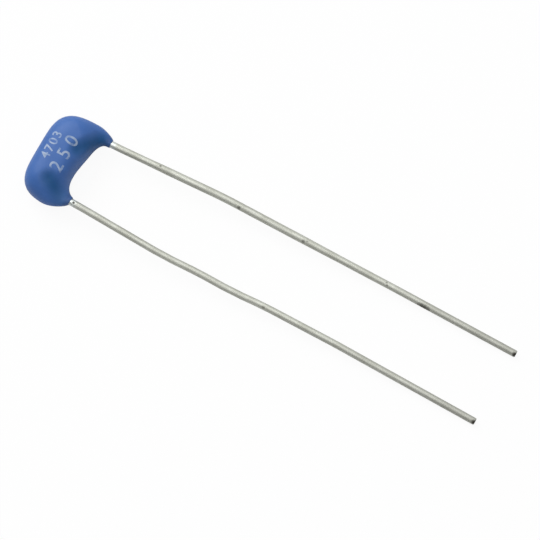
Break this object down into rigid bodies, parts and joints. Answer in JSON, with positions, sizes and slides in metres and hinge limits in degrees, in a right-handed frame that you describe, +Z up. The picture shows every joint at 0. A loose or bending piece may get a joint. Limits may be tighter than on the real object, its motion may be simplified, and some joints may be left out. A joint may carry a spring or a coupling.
{
  "type": "multilayer ceramic capacitor",
  "caption": "Small radial-leaded multilayer ceramic capacitor: a rounded blue dipped body with an arched underside and two long straight tinned wire leads.",
  "frame": {"origin": "on the floor, under the middle of the part's bounding box, as the part lies at rest on its belly and its lead tips", "axes": "+X from the body along the leads to their tips, +Y across the lead pitch, +Z up from the surface it lies on"},
  "size_m": [0.036, 0.0067, 0.003],
  "materials": {
    "blue_epoxy": "gloss",
    "tinned_wire": "satin",
    "dielectric_ceramic": "matte",
    "nickel_electrode": "satin",
    "tinned_termination": "satin",
    "solder": "gloss"
  },
  "bodies": {
    "root": {"coating": "blue_epoxy", "ceramic_dielectric": "dielectric_ceramic", "termination_left": "tinned_termination", "termination_right": "tinned_termination", "solder_left": "solder", "solder_right": "solder", "lead_left": "tinned_wire", "lead_right": "tinned_wire", "electrode_01": "nickel_electrode", "electrode_02": "nickel_electrode", "electrode_03": "nickel_electrode", "electrode_04": "nickel_electrode", "electrode_05": "nickel_electrode", "electrode_06": "nickel_electrode", "electrode_07": "nickel_electrode", "electrode_08": "nickel_electrode", "electrode_09": "nickel_electrode", "electrode_10": "nickel_electrode", "electrode_11": "nickel_electrode", "electrode_12": "nickel_electrode"}
  },
  "joints": []
}
